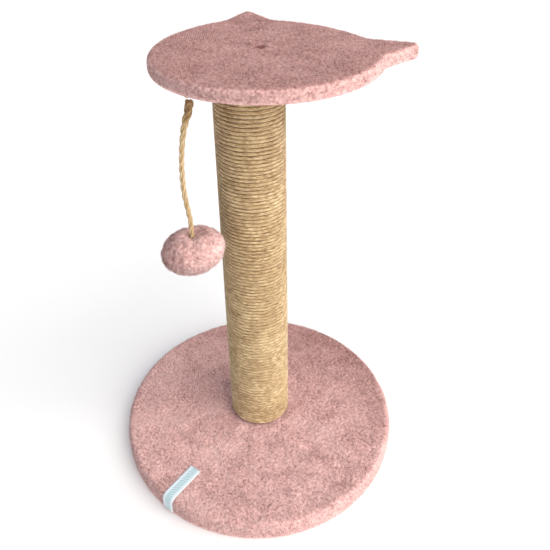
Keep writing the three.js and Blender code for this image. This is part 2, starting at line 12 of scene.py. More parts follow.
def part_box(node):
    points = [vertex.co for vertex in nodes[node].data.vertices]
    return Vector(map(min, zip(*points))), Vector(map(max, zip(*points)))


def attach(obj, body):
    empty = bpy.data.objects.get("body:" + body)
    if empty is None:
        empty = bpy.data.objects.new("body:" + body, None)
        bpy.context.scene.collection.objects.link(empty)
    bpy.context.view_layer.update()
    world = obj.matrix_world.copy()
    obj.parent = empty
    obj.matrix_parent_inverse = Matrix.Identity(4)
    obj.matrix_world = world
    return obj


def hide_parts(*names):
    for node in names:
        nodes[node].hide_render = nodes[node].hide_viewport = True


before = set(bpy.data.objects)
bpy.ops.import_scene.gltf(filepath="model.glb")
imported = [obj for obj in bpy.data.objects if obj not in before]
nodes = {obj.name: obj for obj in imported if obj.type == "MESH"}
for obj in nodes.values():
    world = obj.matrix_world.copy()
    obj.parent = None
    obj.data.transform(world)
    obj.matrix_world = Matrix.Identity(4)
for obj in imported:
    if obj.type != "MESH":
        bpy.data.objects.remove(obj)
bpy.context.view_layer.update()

# --------------------------------------------------------------------------------------------
# Camera
# --------------------------------------------------------------------------------------------
# It stands a little above the platform, on the side between the chin and the near ear, and
# looks down on the post.
picture_side = 550                 # pixels
focal_length = 644.9               # pixels
optical_centre = (252.2, 190.0)    # pixels from the picture's top left corner
camera_place = (0.44463, -0.48038, 0.74985)
camera_turn = math.radians(42.55)
camera_pitch = 0.5141              # radians down from level
camera_roll = -0.0371              # radians

camera_data = bpy.data.cameras.new("camera")
camera_data.sensor_width = 36
camera_data.lens = focal_length / picture_side * camera_data.sensor_width
camera_data.shift_x = 0.5 - optical_centre[0] / picture_side
camera_data.shift_y = optical_centre[1] / picture_side - 0.5
camera = bpy.data.objects.new("camera", camera_data)
camera.matrix_world = (
    Matrix.Translation(camera_place)
    @ Matrix.Rotation(camera_turn, 4, "Z")
    @ Matrix.Rotation(math.pi / 2 - camera_pitch, 4, "X")
    @ Matrix.Rotation(camera_roll, 4, "Z")
)
bpy.context.scene.collection.objects.link(camera)
bpy.context.scene.camera = camera

# --------------------------------------------------------------------------------------------
# Toy cord
# --------------------------------------------------------------------------------------------
# A short length of three-strand sisal twine that carries the ball. It is springy, so it bows
# to one side, and its strands open out towards the knot at its top.
cord_hangs_at = (-0.0034, -0.0803)
cord_bow = [                       # from the plumb line to -X and to -Y, and its height
    (0, 0, 0.5083), (0.0013, 0.0012, 0.503), (0.0036, 0.0033, 0.494), (0.0059, 0.0054, 0.482),
    (0.0078, 0.0072, 0.467), (0.0091, 0.0084, 0.451), (0.0098, 0.0090, 0.435),
    (0.0098, 0.0090, 0.419), (0.0089, 0.0082, 0.402), (0.0074, 0.0067, 0.385),
    (0.0066, 0.0060, 0.372), (0.0067, 0.0061, 0.362), (0.0067, 0.0061, 0.3438),
]
cord_route = [
    (cord_hangs_at[0] - aside, cord_hangs_at[1] - ahead, height)
    for aside, ahead, height in cord_bow
]
cord_diameter = 0.006
cord_lay_length = 0.034            # one strand goes once round the cord in this
cord_opening = 0.62                # how much thicker the cord is at its top
# Painted shade: how far down from its top, under the platform, the cord is darkened.
cord_shade_reach = 0.014                # how far down from its top it is darker


def smooth_line(points, steps):
    """Points along a smooth curve through the given ones."""
    data = bpy.data.curves.new("line", "CURVE")
    data.dimensions = "3D"
    data.resolution_u = steps
    spline = data.splines.new("BEZIER")
    spline.bezier_points.add(len(points) - 1)
    for knot, point in zip(spline.bezier_points, points):
        knot.co = point
        knot.handle_left_type = knot.handle_right_type = "AUTO"
    carrier = bpy.data.objects.new("line", data)
    mesh = bpy.data.meshes.new_from_object(carrier)
    line = [vert.co.copy() for vert in mesh.vertices]
    bpy.data.meshes.remove(mesh)
    bpy.data.objects.remove(carrier)
    return line


def linear(hex_colour):
    """An sRGB colour such as 'd4a59f' as linear red, green, blue and alpha."""
    channels = [int(hex_colour[i:i + 2], 16) / 255 for i in (0, 2, 4)]
    return [c / 12.92 if c < 0.04045 else ((c + 0.055) / 1.055) ** 2.4 for c in channels] + [1]


def add_node(tree, kind, inputs=None, **settings):
    """A node with its settings, and its inputs set to values or linked to other nodes' outputs."""
    made = tree.nodes.new(kind)
    for name, value in settings.items():
        setattr(made, name, value)
    for name, value in (inputs or {}).items():
        if isinstance(value, bpy.types.NodeSocket):
            tree.links.new(value, made.inputs[name])
        else:
            made.inputs[name].default_value = value
    return made


def new_material(name, **shader):
    """A material with the constants of its shader set, its node tree and the shader."""
    made = bpy.data.materials.new(name)
    made.use_nodes = True
    principled = made.node_tree.nodes["Principled BSDF"]
    for socket, value in shader.items():
        principled.inputs[socket.replace("_", " ")].default_value = value
    return made, made.node_tree, principled


def colour_ramp(tree, factor, stops):
    """Colours picked by a factor: stops are (position, hex colour)."""
    ramp = add_node(tree, "ShaderNodeValToRGB", {"Fac": factor})
    elements = ramp.color_ramp.elements
    while len(elements) < len(stops):
        elements.new(0.5)
    for element, (position, hex_colour) in zip(elements, stops):
        element.position = position
        element.color = linear(hex_colour)
    return ramp.outputs["Color"]


def sisal_material(name, fibre_width, fibre_length, stops):
    """Dry leaf fibre, twisted and unbleached: it scatters light, shines faintly along the fibres,
    and is straw-coloured with brown specks, with painted shade where an attribute asks for it. The
    fibres are drawn a few times as wide as they are, so that they show."""
    patch_size, speck_size, relief = 0.03, 0.0028, 0.0006
    made, tree, principled = new_material(
        name, Roughness=0.82, Specular_IOR_Level=0.25, Sheen_Weight=0.25, Sheen_Roughness=0.5,
    )
    lay = add_node(tree, "ShaderNodeAttribute", attribute_name="lay")
    stretch = (1 / fibre_width, 1 / fibre_width, 1 / fibre_length)
    along = add_node(tree, "ShaderNodeVectorMath", {0: lay.outputs["Vector"], 1: stretch},
                     operation="MULTIPLY")
    fibres = add_node(tree, "ShaderNodeTexNoise",
                      {"Vector": along.outputs[0], "Scale": 1, "Detail": 3, "Roughness": 0.65})
    place = add_node(tree, "ShaderNodeTexCoord").outputs["Object"]
    patches = add_node(tree, "ShaderNodeTexNoise",
                       {"Vector": place, "Scale": 1 / patch_size, "Detail": 2})
    tone = add_node(tree, "ShaderNodeMath",
                    {0: patches.outputs["Fac"], 1: 0.2, 2: fibres.outputs["Fac"]},
                    operation="MULTIPLY_ADD")
    # Painted shade: an attribute written on the yarn darkens its tone where shade falls.
    painted_sisal_shade = add_node(tree, "ShaderNodeAttribute", attribute_name="painted_sisal_shade").outputs["Fac"]
    shaded = add_node(tree, "ShaderNodeMath", {0: painted_sisal_shade, 1: -0.19, 2: tone.outputs[0]},
                      operation="MULTIPLY_ADD")
    straw = colour_ramp(tree, shaded.outputs[0], stops)
    spots = add_node(tree, "ShaderNodeTexNoise",
                     {"Vector": place, "Scale": 1 / speck_size, "Detail": 1})
    speck = add_node(tree, "ShaderNodeMapRange",
                     {"Value": spots.outputs["Fac"], "From Min": 0.72, "From Max": 0.78})
    mixed = add_node(tree, "ShaderNodeMix",
                     {0: speck.outputs[0], 6: straw, 7: linear("6f5230")}, data_type="RGBA")
    bump = add_node(tree, "ShaderNodeBump",
                    {"Height": fibres.outputs["Fac"], "Strength": 0.8, "Distance": relief})
    tree.links.new(mixed.outputs[2], principled.inputs["Base Color"])
    tree.links.new(bump.outputs["Normal"], principled.inputs["Normal"])
    return made


def spun_yarn(name, lines, thickness, steps_round=1, section=None, closed=False, upright=False):
    """A closed tube along each line of (point, swell, turn). Its attribute `lay` says where round
    the yarn and how far along it each corner is, for patterns that follow the fibres."""
    data = bpy.data.curves.new(name, "CURVE")
    data.dimensions = "3D"
    data.twist_mode = "Z_UP" if upright else "MINIMUM"
    if section:
        data.bevel_mode = "OBJECT"
        data.bevel_object = section
    else:
        data.bevel_depth = thickness / 2
        data.bevel_resolution = steps_round
    for line in lines:
        spline = data.splines.new("POLY")
        spline.points.add(len(line) - 1)
        spline.use_cyclic_u = closed
        for spot, (point, swell, turn) in zip(spline.points, line):
            spot.co = (*point, 1)
            spot.radius = swell
            spot.tilt = turn
    carrier = bpy.data.objects.new(name, data)
    bpy.context.scene.collection.objects.link(carrier)
    ready = carrier.evaluated_get(bpy.context.evaluated_depsgraph_get())
    mesh = bpy.data.meshes.new_from_object(ready)
    bpy.data.objects.remove(carrier)
    sides = len(mesh.vertices) // sum(len(line) for line in lines)
    tube = bmesh.new()
    tube.from_mesh(mesh)
    bpy.data.meshes.remove(mesh)
    lay = tube.verts.layers.float_vector.new("lay")
    tube.verts.ensure_lookup_table()
    number = 0
    for k, line in enumerate(lines):
        along = 0
        for i, (point, _, _) in enumerate(line):
            along += (point - line[i - 1][0]).length if i else 0
            for side in range(sides):
                around = 2 * math.pi * side / sides
                tube.verts[number][lay] = (thickness / 2 * math.cos(around) + 0.1 * k,
                                           thickness / 2 * math.sin(around), along)
                number += 1
    bmesh.ops.holes_fill(tube, edges=[edge for edge in tube.edges if edge.is_boundary], sides=0)
    bmesh.ops.recalc_face_normals(tube, faces=tube.faces)
    whole = bpy.data.meshes.new(name)
    tube.to_mesh(whole)
    tube.free()
    whole.shade_smooth()
    yarn = bpy.data.objects.new(name, whole)
    bpy.context.scene.collection.objects.link(yarn)
    return yarn


def three_strands(line, radius, swell_at, lay_length):
    """The lines of three strands twisted round one line."""
    strands = []
    for k in range(3):
        strand = []
        along = 0
        for i, point in enumerate(line):
            ahead = (line[min(i + 1, len(line) - 1)] - line[max(i - 1, 0)]).normalized()
            side = (Vector((1, 0, 0)) - ahead * ahead.x).normalized()
            across = ahead.cross(side)
            along += (point - line[i - 1]).length if i else 0
            turn = 2 * math.pi * (along / lay_length + k / 3)
            swell = swell_at(i / (len(line) - 1))
            out = side * math.cos(turn) + across * math.sin(turn)
            strand.append((point + out * radius * swell, swell, -turn))
        strands.append(strand)
    return strands


def paint_shade(yarn, how_far):
    """Writes a point attribute of painted shade: how far the yarn is darkened at a place, from 0 to
    1.
    """
    painted_sisal_shade = yarn.data.attributes.new("painted_sisal_shade", "FLOAT", "POINT")
    for vert in yarn.data.vertices:
        painted_sisal_shade.data[vert.index].value = how_far(vert.co)


def cord_swell(share):
    """How thick the cord is, from its top, 0, to its end in the ball, 1."""
    opened = cord_opening * math.exp(-(share / 0.2) ** 2)
    return 1 + opened + 0.06 * math.sin(math.pi * share)


def painted_shade_at_top(place):
    """How much painted shade the cord has at a place: the most at its top, under the platform."""
    return 0.9 * math.exp(-(((cord_route[0][2] - place.z) / cord_shade_reach) ** 2))


cord_line = smooth_line(cord_route, 14)
strand_diameter = cord_diameter / 2.155   # three touching round strands
cord_strands = three_strands(cord_line, 0.55 * strand_diameter, cord_swell, cord_lay_length)
sisal_twine = sisal_material(
    "twisted sisal twine", 0.0005, 0.006,
    [(0.25, "6b4f2c"), (0.42, "8f7147"), (0.55, "b89c71"), (0.67, "d2ba91"), (0.8, "e8d7b4")],
)
toy_cord = spun_yarn("toy_cord_twine", cord_strands, strand_diameter, steps_round=2)
toy_cord.data.materials.append(sisal_twine)
# Painted shade on the cord's top, under the platform.
paint_shade(toy_cord, painted_shade_at_top)
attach(toy_cord, "cord")
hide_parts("toy_cord")
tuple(cord_route[0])
[tuple(point) for point in cord_line]

# --------------------------------------------------------------------------------------------
# Knots and eye of the toy cord
# --------------------------------------------------------------------------------------------
# The twine goes through a wire staple under the platform as a small eye, and is tied under it.
# A second knot inside the ball stops the ball from sliding off.


knot_stretch = 2.6                 # how far the knot is drawn out along the cord
knot_steps = 72


def tied_knot(name, node, body, strand, drop=0):
    """An overhand knot, drawn up tight, that fills the place of a CAD knot."""
    low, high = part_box(node)
    centre, radius = (low + high) / 2, (high - low).x / 2
    size = (radius - strand / 2) / 3
    points = []
    for i in range(knot_steps):
        t = 2 * math.pi * i / knot_steps
        point = Vector((
            math.sin(t) + 2 * math.sin(2 * t),
            math.cos(t) - 2 * math.cos(2 * t),
            -knot_stretch * math.sin(3 * t),
        ))
        points.append((centre + size * point - Vector((0, 0, drop)), 1, 0))
    knot = spun_yarn(name, [points], strand, steps_round=3, closed=True)
    knot.data.materials.append(sisal_twine)
    # Painted shade over the whole knot.
    paint_shade(knot, lambda place: 0.9)
    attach(knot, body)
    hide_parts(node)


tied_knot("toy_cord_top_knot", "toy_cord_knot", "cord", 0.0044, 0.0012)
tied_knot("toy_cord_inner_knot", "toy_end_knot", "ball", 0.0044)

eye_low, eye_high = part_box("toy_cord_eye")
eye_centre = (eye_low + eye_high) / 2
eye_strand = (eye_high - eye_low).x
eye_radius = (eye_high - eye_low).z / 2 - eye_strand / 2
eye_circle = [
    eye_centre + eye_radius * Vector((0, math.cos(t), math.sin(t)))
    for t in np.linspace(0, 2 * math.pi, 49)[:-1]
]
toy_eye = spun_yarn("toy_cord_loop", [[(p, 1, 0) for p in eye_circle]], eye_strand, 2, closed=True)
toy_eye.data.materials.append(sisal_twine)
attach(toy_eye, "cord_eye")
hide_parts("toy_cord_eye")

# --------------------------------------------------------------------------------------------
# Floor and light
# --------------------------------------------------------------------------------------------
# A plain white floor under one wide soft light from the right, high up, with a weaker light
# from all round that is brightest on the same side.
floor_below = 0.0004               # under the object, so that the two faces don't touch
light_azimuth = 2                  # degrees
light_elevation = 32
light_spread = 68
floor_mesh = bmesh.new()
bmesh.ops.create_grid(floor_mesh, x_segments=1, y_segments=1, size=40)
bmesh.ops.translate(floor_mesh, verts=floor_mesh.verts, vec=(0, 0, -floor_below))
floor_data = bpy.data.meshes.new("floor")
floor_mesh.to_mesh(floor_data)
floor_mesh.free()
floor = bpy.data.objects.new("floor", floor_data)
bpy.context.scene.collection.objects.link(floor)
painted_floor, floor_tree, floor_shader = new_material(
    "matt white studio floor", Roughness=0.9, Specular_IOR_Level=0.1,
)
floor_place = add_node(floor_tree, "ShaderNodeTexCoord").outputs["Object"]
floor_cloud = add_node(floor_tree, "ShaderNodeTexNoise", {"Vector": floor_place, "Scale": 1.5})
floor_tree.links.new(
    colour_ramp(floor_tree, floor_cloud.outputs["Fac"], [(0.3, "e9e9e8"), (0.7, "ededec")]),
    floor_shader.inputs["Base Color"],
)
floor_data.materials.append(painted_floor)

lamp_data = bpy.data.lights.new("large_soft_light", "SUN")
lamp_data.energy = 3.5
lamp_data.angle = math.radians(light_spread)
lamp_data.color = linear("fffaf4")[:3]
lamp = bpy.data.objects.new("large_soft_light", lamp_data)
lamp.matrix_world = (
    Matrix.Rotation(math.radians(light_azimuth + 90), 4, "Z")
    @ Matrix.Rotation(math.radians(90 - light_elevation), 4, "X")
)
bpy.context.scene.collection.objects.link(lamp)

studio = bpy.data.worlds.new("studio")
studio.use_nodes = True
studio_tree = studio.node_tree
sky = add_node(studio_tree, "ShaderNodeTexCoord").outputs["Generated"]
towards_lamp = add_node(studio_tree, "ShaderNodeVectorMath", {0: sky, 1: (0.55, 0.3, 0.8)},
                        operation="DOT_PRODUCT")
sky_strength = add_node(studio_tree, "ShaderNodeMapRange",
                        {"Value": towards_lamp.outputs["Value"], "From Min": -0.6, "From Max": 0.9,
                         "To Min": 0.22, "To Max": 1})
studio_light = studio_tree.nodes["Background"]
studio_light.inputs["Color"].default_value = linear("f6f8ff")
studio_tree.links.new(sky_strength.outputs[0], studio_light.inputs["Strength"])
bpy.context.scene.world = studio
bpy.context.scene.view_settings.view_transform = "Standard"

# --------------------------------------------------------------------------------------------
# Boards
# --------------------------------------------------------------------------------------------
# Medium-density fibreboard, sawn and left raw. It shows only from below, inside the turned
# cloth: a felted brown face with fine flecks.
board_fleck = 0.0012
fibreboard, board_tree, board_shader = new_material(
    "raw medium-density fibreboard", Roughness=0.88, Specular_IOR_Level=0.2,
)
board_place = add_node(board_tree, "ShaderNodeTexCoord").outputs["Object"]
board_flecks = add_node(
    board_tree, "ShaderNodeTexNoise",
    {"Vector": board_place, "Scale": 1 / board_fleck, "Detail": 4, "Roughness": 0.7},
)
board_tree.links.new(
    colour_ramp(board_tree, board_flecks.outputs["Fac"],
                [(0.3, "8a6b48"), (0.5, "ad8a60"), (0.72, "c2a27a")]),
    board_shader.inputs["Base Color"],
)
board_bump = add_node(board_tree, "ShaderNodeBump",
                      {"Height": board_flecks.outputs["Fac"], "Strength": 0.3, "Distance": 0.0002})
board_tree.links.new(board_bump.outputs["Normal"], board_shader.inputs["Normal"])
for name in ("base_board", "head_board"):
    nodes[name].data.materials.clear()
    nodes[name].data.materials.append(fibreboard)

# --------------------------------------------------------------------------------------------
# Base cover
# --------------------------------------------------------------------------------------------
# Short dusty-pink plush, drawn over the top and the rim of the board and turned under. The
# pile stands in small clumps; its colour has painted shade between them and at the roots, is
# pale at the tips, and has more painted shade towards the back of the base.
plush_rounding = 0.006             # over the board's upper edge
plush_low_rounding = 0.0025
base_radius = 0.1843
base_top = 0.0256
base_hem_edge = 0.1443             # inner edge of the turned-under cloth
base_hem = 0.003                   # its thickness
base_board_top = 0.0216
cloth = 0.004
base_pile = 0.0026                 # height of the pile
base_clump = 0.0040                # size of the clumps that it draws together in
curl_size = 0.0031                 # of the tufts' curls, a little coarser than the real ones
brushed_size = 0.03                # of the patches that a hand leaves in the pile
hem_dent = 0.0016                  # how deep a staple draws the turned-under cloth in


def plush_material(name, stops):
    """Polyester plush, knitted and sheared, and matt. Its colour carries painted shade: dark at
    the root of each tuft and pale at its tip, and darker, with fainter curls, where a second
    attribute asks for more shade."""
    made, tree, principled = new_material(
        name, Roughness=0.95, Specular_IOR_Level=0.1, Sheen_Weight=0.12, Sheen_Roughness=0.5,
        Sheen_Tint=linear("f6dcd6"),
    )
    pile = add_node(tree, "ShaderNodeAttribute", attribute_name="pile").outputs["Fac"]
    painted_plush_shade = add_node(tree, "ShaderNodeAttribute", attribute_name="painted_plush_shade").outputs["Fac"]
    place = add_node(tree, "ShaderNodeTexCoord").outputs["Object"]
    curls = add_node(tree, "ShaderNodeTexNoise",
                     {"Vector": place, "Scale": 1 / curl_size, "Detail": 2, "Roughness": 0.6})
    brushed = add_node(tree, "ShaderNodeTexNoise",
                       {"Vector": place, "Scale": 1 / brushed_size, "Detail": 2,
                        "Distortion": 0.4})
    tuft = add_node(tree, "ShaderNodeMath", {0: pile, 1: 0.7, 2: -0.53}, operation="MULTIPLY_ADD")
    # Painted shade: the second attribute lowers the tone, mostly by fading the curls.
    liveliness = add_node(tree, "ShaderNodeMath", {0: painted_plush_shade, 1: -0.75, 2: 1.1},
                          operation="MULTIPLY_ADD")
    curled = add_node(tree, "ShaderNodeMath",
                      {0: brushed.outputs["Fac"], 1: 0.36, 2: curls.outputs["Fac"]},
                      operation="MULTIPLY_ADD")
    laid = add_node(tree, "ShaderNodeMath",
                    {0: curled.outputs[0], 1: liveliness.outputs[0], 2: tuft.outputs[0]},
                    operation="MULTIPLY_ADD")
    tone = add_node(tree, "ShaderNodeMath", {0: painted_plush_shade, 1: 0.13, 2: laid.outputs[0]},
                    operation="MULTIPLY_ADD")
    tree.links.new(colour_ramp(tree, tone.outputs[0], stops), principled.inputs["Base Color"])
    return made


# The darkest of these stops are painted shade, for the roots of the tufts and the shaded places.
dusty_pink_plush = plush_material(
    "dusty pink plush",
    [(0, "6c4340"), (0.06, "90645f"), (0.25, "bd948f"), (0.5, "e3b7b2"), (0.8, "f7dad4")],
)


def even_disc(first_cuts, halvings):
    """A flat disc of radius 1, of even triangles: a hexagon cut up and drawn out to a circle."""
    disc = bmesh.new()
    bmesh.ops.create_circle(disc, cap_ends=True, cap_tris=True, segments=6, radius=1)
    for cuts in [first_cuts] + [1] * halvings:
        bmesh.ops.subdivide_edges(disc, edges=disc.edges[:], cuts=cuts, use_grid_fill=True)
    for vert in disc.verts:
        angle = math.atan2(vert.co.y, vert.co.x) % (math.pi / 3)
        vert.co *= math.cos(math.pi / 6 - angle) / math.cos(math.pi / 6)
    return disc


def stations_of(outline, rounding, low_rounding, top, bottom, hem_edge, centre):
    """The rings that drawn cloth passes, from the middle of the top, over the edge and down the
    side to the turned-under edge. Each is a row of points at even angles."""
    smoothing_rounds = 60          # so that the cloth doesn't cross itself inside a narrow tip
    ahead = np.roll(outline, -1, axis=0) - np.roll(outline, 1, axis=0)
    outward = np.stack([ahead[:, 1], -ahead[:, 0]], axis=1)
    outward /= np.linalg.norm(outward, axis=1)[:, None]
    for step in range(smoothing_rounds):
        outward = (np.roll(outward, 1, axis=0) + outward + np.roll(outward, -1, axis=0)) / 3
    outward /= np.linalg.norm(outward, axis=1)[:, None]

    def ring(inset, height):
        flat = outline - outward * inset
        return np.column_stack([flat, np.full(len(flat), height)])

    rings = [np.tile([*centre, top], (len(outline), 1))]
    for step in range(7):
        angle = math.pi / 2 * step / 6
        rings.append(ring(rounding * (1 - math.sin(angle)), top - rounding * (1 - math.cos(angle))))
    for step in range(4):
        angle = math.pi / 2 * step / 3
        rings.append(ring(low_rounding * (1 - math.cos(angle)),
                          bottom + low_rounding * (1 - math.sin(angle))))
    angles = np.arctan2(outline[:, 1] - centre[1], outline[:, 0] - centre[0])
    rings.append(np.column_stack([
        centre[0] + hem_edge * np.cos(angles), centre[1] + hem_edge * np.sin(angles),
        np.full(len(angles), bottom),
    ]))
    return np.array(rings)


def lay_over(disc, rings):
    """Moves each corner of a disc to its place on the rings that the cloth passes."""
    steps = np.linalg.norm(np.diff(rings, axis=0), axis=2).mean(axis=1)
    reach = np.concatenate([[0], np.cumsum(steps)]) / steps.sum()
    count = rings.shape[1]
    flat = np.array([vert.co[:2] for vert in disc.verts])
    across = np.minimum(np.hypot(*flat.T), 1)
    turn = (np.arctan2(flat[:, 1], flat[:, 0]) / (2 * np.pi) % 1) * count
    near = np.clip(np.searchsorted(reach, across, side="right") - 1, 0, len(reach) - 2)
    share = ((across - reach[near]) / (reach[near + 1] - reach[near]))[:, None]
    before = turn.astype(int) % count
    part = (turn - np.floor(turn))[:, None]

    def on_ring(ring):
        return rings[ring, before] * (1 - part) + rings[ring, (before + 1) % count] * part

    placed = on_ring(near) * (1 - share) + on_ring(near + 1) * share
    for vert, place in zip(disc.verts, placed):
        vert.co = place


def round_outline(radius, centre, count):
    """A circle of points at even angles."""
    angles = np.arange(count) * 2 * np.pi / count
    return np.stack([np.cos(angles), np.sin(angles)], axis=1) * radius + centre


def clumps(place, size):
    """How high the pile stands at a point, from 0 to 1, in clumps of about that size."""
    near = noise.voronoi(place / size, distance_metric="DISTANCE")[0]
    clump = 1 - min(1, near[0] / 0.75)
    curl = 0.5 + 0.5 * noise.noise(place / (0.6 * size))
    return 0.6 * clump + 0.4 * curl


def raise_pile(sheet, height, size, press, shade_at):
    """Raises the pile of a cloth: a tuft on each of its faces, drawn together into clumps.
    press(place, normal) says how far the cloth itself is moved, and how much pile is left, and
    the last argument how much painted shade the plush has at a place, facing a way."""
    chance = np.random.default_rng(5)
    noise.seed_set(5)
    sheet.normal_update()
    pile = sheet.verts.layers.float.new("pile")
    painted_plush_shade = sheet.verts.layers.float.new("painted_plush_shade")
    flat = {}
    for vert in sheet.verts:
        place, normal = vert.co.copy(), vert.normal.copy()
        push, left = press(place, normal)
        flat[vert] = left
        stands = clumps(place, size)
        # Painted shade: the roots get low values, which the colour ramp draws dark, and the tips
        # below get high, pale ones.
        vert[pile] = 0.45 - 0.3 * left + 0.3 * (stands - 0.5)
        vert[painted_plush_shade] = shade_at(place, normal)
        swell = 0.0003 * noise.noise(place / 0.028)
        vert.co = place + push + normal * left * (height * (0.5 * stands - 0.75) + swell)
    covered = [face for face in sheet.faces if all(flat[vert] > 0.3 for vert in face.verts)]
    tips = bmesh.ops.poke(sheet, faces=covered)["verts"]
    sheet.normal_update()
    for tip in tips:
        around = [edge.other_vert(tip) for edge in tip.link_edges]
        left = min(flat[vert] for vert in around)
        stands = clumps(tip.co, size)
        tall = left * height * (0.25 + stands + chance.uniform(-0.2, 0.3))
        together = noise.noise_vector(tip.co / size) + noise.noise_vector(tip.co / (3 * size))
        lean = together - tip.normal * together.dot(tip.normal)
        # Where there is more painted shade, the tips vary less in tone.
        tip[painted_plush_shade] = sum(vert[painted_plush_shade] for vert in around) / len(around)
        lively = 1 - 0.75 * min(1, tip[painted_plush_shade])
        tip[pile] = 0.6 + lively * (0.8 * (stands - 0.44) + chance.uniform(-0.15, 0.15))
        tip.co += tip.normal * tall + lean * 0.5 * tall


def close_inside(sheet, rings):
    """Gives the cloth its back: a wall over each ring in turn, and a flat piece at the end."""
    edges = [edge for edge in sheet.edges if edge.is_boundary]
    for ring in rings:
        made = bmesh.ops.extrude_edge_only(sheet, edges=edges)["geom"]
        verts = [item for item in made if isinstance(item, bmesh.types.BMVert)]
        edges = [item for item in made if isinstance(item, bmesh.types.BMEdge)]
        for vert in verts:
            vert.co = ring(vert.co)
    bmesh.ops.contextual_create(sheet, geom=edges)
    bmesh.ops.recalc_face_normals(sheet, faces=sheet.faces)


def as_piece(name, sheet, material, body, replaced=()):
    """The finished object of a mesh, riding on its body."""
    data = bpy.data.meshes.new(name)
    sheet.to_mesh(data)
    sheet.free()
    data.shade_smooth()
    data.materials.append(material)
    made = bpy.data.objects.new(name, data)
    bpy.context.scene.collection.objects.link(made)
    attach(made, body)
    if replaced:
        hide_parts(*replaced)
    return made


def staple_dents(prefix, centre):
    """Where each staple presses the turned-under cloth: its middle and its direction."""
    dents = []
    for name in nodes:
        if name.startswith(prefix):
            low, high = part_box(name)
            middle = (low + high) / 2
            out = Vector((middle.x - centre[0], middle.y - centre[1], 0)).normalized()
            dents.append((Vector((middle.x, middle.y, 0)), Vector((-out.y, out.x, 0))))
    return dents


def pressed_hem(place, dents):
    """How far the turned-under cloth is drawn in by its staples."""
    push = 0
    for middle, along in dents:
        off = Vector((place.x, place.y, 0)) - middle
        beside = abs(off.dot(along))
        away = math.hypot(max(0, beside - 0.005), (off - along * off.dot(along)).length)
        push = max(push, hem_dent * math.exp(-((away / 0.0022) ** 2)))
    return Vector((0, 0, push))


base_dents = staple_dents("base_staple_", (0, 0))


def press_base(place, normal):
    """The pile stands on the top and the side, and is pressed flat underneath."""
    under = max(0, min(1, -2 * normal.z))
    if under == 0:
        return Vector(), 1
    return pressed_hem(place, base_dents) * (under > 0.9), 1 - 0.92 * under


def base_painted_shade(place, normal):
    """Painted shade, growing towards the back of the base."""
    behind = place.dot(Vector((-0.1, 1, 0))) / base_radius
    return max(0, min(0.62, 0.8 * (behind - 0.15)))


base_rings = stations_of(round_outline(base_radius, (0, 0), 720), plush_rounding,
                         plush_low_rounding, base_top, 0, base_hem_edge, (0, 0))
base_cloth = even_disc(2, 5)
lay_over(base_cloth, base_rings)
raise_pile(base_cloth, base_pile, base_clump, press_base, base_painted_shade)
for vert in base_cloth.verts:
    vert.co.z = max(vert.co.z, 0.0001)


def on_circle(radius, height, centre=(0, 0)):
    """Places a corner on a circle, by its angle."""
    def ring(place):
        out = Vector((place.x - centre[0], place.y - centre[1])).normalized() * radius
        return Vector((centre[0] + out.x, centre[1] + out.y, height))
    return ring


close_inside(base_cloth, [
    on_circle(base_hem_edge, base_hem),
    on_circle(base_radius - cloth, base_hem),
    on_circle(base_radius - cloth, base_board_top),
    on_circle(0.05, base_board_top),
])
base_plush = as_piece("base_plush", base_cloth, dusty_pink_plush, "stand", ["base_cover"])

# --------------------------------------------------------------------------------------------
# Platform cover
# --------------------------------------------------------------------------------------------
# The same plush, drawn over the cat-head board and its two ears. The screw that holds the
# platform pulls it into a small dimple. Painted shade darkens the top, and the dimple the most.
head_centre = (0.0145, 0.0175)
head_top = 0.5485
head_bottom = 0.5329
head_hem_edge = 0.0855
head_board_top = 0.5445
head_hem = 0.003
head_pile = 0.0020
head_clump = 0.0030
dimple_radius = 0.0058             # where the screw draws the cloth down
dimple_depth = 0.0007
lip_radius = 0.0095                # of the low ring of cloth round the dimple
lip_width = 0.0035
lip_height = 0.0010
pinch_marks = [Vector((-0.0096, 0.0156, 0)), Vector((0.0031, 0.0354, 0))]
screw_low, screw_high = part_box("head_screw")
screw_place = Vector(((screw_low.x + screw_high.x) / 2, (screw_low.y + screw_high.y) / 2, 0))


def outline_of(node, centre, height, count):
    """The outline of a CAD solid at a height: the first thing met from outside, at even angles."""
    mesh = nodes[node].data
    tree = BVHTree.FromPolygons([v.co for v in mesh.vertices],
                                [tuple(p.vertices) for p in mesh.polygons])
    points = []
    for i in range(count):
        angle = 2 * math.pi * i / count
        out = Vector((math.cos(angle), math.sin(angle), 0))
        start = Vector((*centre, height)) + out
        points.append(tree.ray_cast(start, -out)[0][:2])
    return np.array(points)


head_outline = outline_of("head_cover", head_centre, (head_top + head_bottom) / 2, 720)
head_rings = stations_of(head_outline, plush_rounding, plush_low_rounding, head_top, head_bottom,
                         head_hem_edge, head_centre)
head_dents = staple_dents("head_staple_", head_centre)


def press_head(place, normal):
    """The dimple over the screw, and the pile pressed flat underneath."""
    if normal.z > 0.9:
        away = (Vector((place.x, place.y, 0)) - screw_place).length
        well = math.exp(-((away / dimple_radius) ** 6))
        lip = math.exp(-(((away - lip_radius) / lip_width) ** 2))
        return Vector((0, 0, lip_height * lip - dimple_depth * well)), 1 - well
    under = max(0, min(1, -2 * normal.z))
    if under == 0:
        return Vector(), 1
    return pressed_hem(place, head_dents) * (under > 0.9), 1 - 0.92 * under


def head_painted_shade(place, normal):
    """Painted shade on the top, the most in the dimple over the screw, and more at two marks behind
    it.
    """
    above = Vector((place.x, place.y, 0))
    away = (above - screw_place).length
    pinched = sum(math.exp(-(((above - mark).length / 0.0026) ** 2)) for mark in pinch_marks)
    level = max(0, min(1, 3 * normal.z - 2))
    return level * (0.75 + 0.5 * pinched) + 2.2 * math.exp(-((away / 0.005) ** 4))


